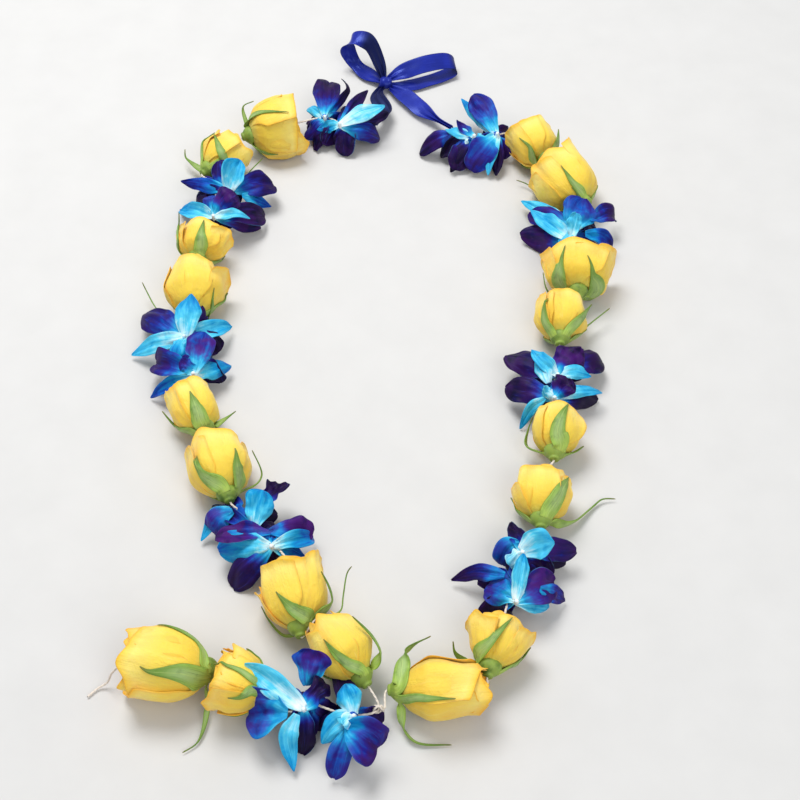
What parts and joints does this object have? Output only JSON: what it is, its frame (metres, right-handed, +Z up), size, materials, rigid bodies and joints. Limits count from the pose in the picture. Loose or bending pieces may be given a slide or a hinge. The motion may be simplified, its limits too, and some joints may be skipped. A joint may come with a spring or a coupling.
{
  "type": "fresh flower lei",
  "caption": "Open necklace of yellow rose buds and dyed blue orchids threaded on string, with a short pendant of flowers at one end and a satin ribbon bow at the other.",
  "frame": {"origin": "middle of the lei's outline, on the flat surface that the lei lies on", "axes": "+Z up from the surface, +Y from the pendant to the ribbon bow, +X to the right of a viewer who looks from the pendant end"},
  "size_m": [0.3139, 0.5787, 0.049],
  "materials": {
    "rose_petal": "soft matte yellow petal",
    "rose_calyx": "matte green sepal and receptacle",
    "orchid_tepal": "satin dyed blue and violet petal",
    "cotton_string": "twisted matte cotton",
    "satin_ribbon": "woven satin"
  },
  "bodies": {
    "root": {"ribbon_bow": "satin_ribbon", "string_left_and_pendant": "cotton_string", "string_right": "cotton_string", "left_rose_1_petals": "rose_petal", "left_rose_1_calyx": "rose_calyx", "left_rose_2_petals": "rose_petal", "left_rose_2_calyx": "rose_calyx", "left_rose_3_petals": "rose_petal", "left_rose_3_calyx": "rose_calyx", "left_rose_4_petals": "rose_petal", "left_rose_4_calyx": "rose_calyx", "left_rose_5_petals": "rose_petal", "left_rose_5_calyx": "rose_calyx", "left_rose_6_petals": "rose_petal", "left_rose_6_calyx": "rose_calyx", "left_rose_7_petals": "rose_petal", "left_rose_7_calyx": "rose_calyx", "left_rose_8_petals": "rose_petal", "left_rose_8_calyx": "rose_calyx", "right_rose_1_petals": "rose_petal", "right_rose_1_calyx": "rose_calyx", "right_rose_2_petals": "rose_petal", "right_rose_2_calyx": "rose_calyx", "right_rose_3_petals": "rose_petal", "right_rose_3_calyx": "rose_calyx", "right_rose_4_petals": "rose_petal", "right_rose_4_calyx": "rose_calyx", "right_rose_5_petals": "rose_petal", "right_rose_5_calyx": "rose_calyx", "right_rose_6_petals": "rose_petal", "right_rose_6_calyx": "rose_calyx", "right_rose_7_petals": "rose_petal", "right_rose_7_calyx": "rose_calyx", "right_rose_8_petals": "rose_petal", "right_rose_8_calyx": "rose_calyx", "pendant_rose_1_petals": "rose_petal", "pendant_rose_1_calyx": "rose_calyx", "pendant_rose_2_petals": "rose_petal", "pendant_rose_2_calyx": "rose_calyx", "left_orchid_1": "orchid_tepal", "left_orchid_2": "orchid_tepal", "left_orchid_3": "orchid_tepal", "left_orchid_4": "orchid_tepal", "left_orchid_5": "orchid_tepal", "left_orchid_6": "orchid_tepal", "left_orchid_7": "orchid_tepal", "left_orchid_8": "orchid_tepal", "right_orchid_1": "orchid_tepal", "right_orchid_2": "orchid_tepal", "right_orchid_3": "orchid_tepal", "right_orchid_4": "orchid_tepal", "right_orchid_5": "orchid_tepal", "right_orchid_6": "orchid_tepal", "right_orchid_7": "orchid_tepal", "right_orchid_8": "orchid_tepal", "pendant_orchid_1": "orchid_tepal", "pendant_orchid_2": "orchid_tepal"}
  },
  "joints": []
}
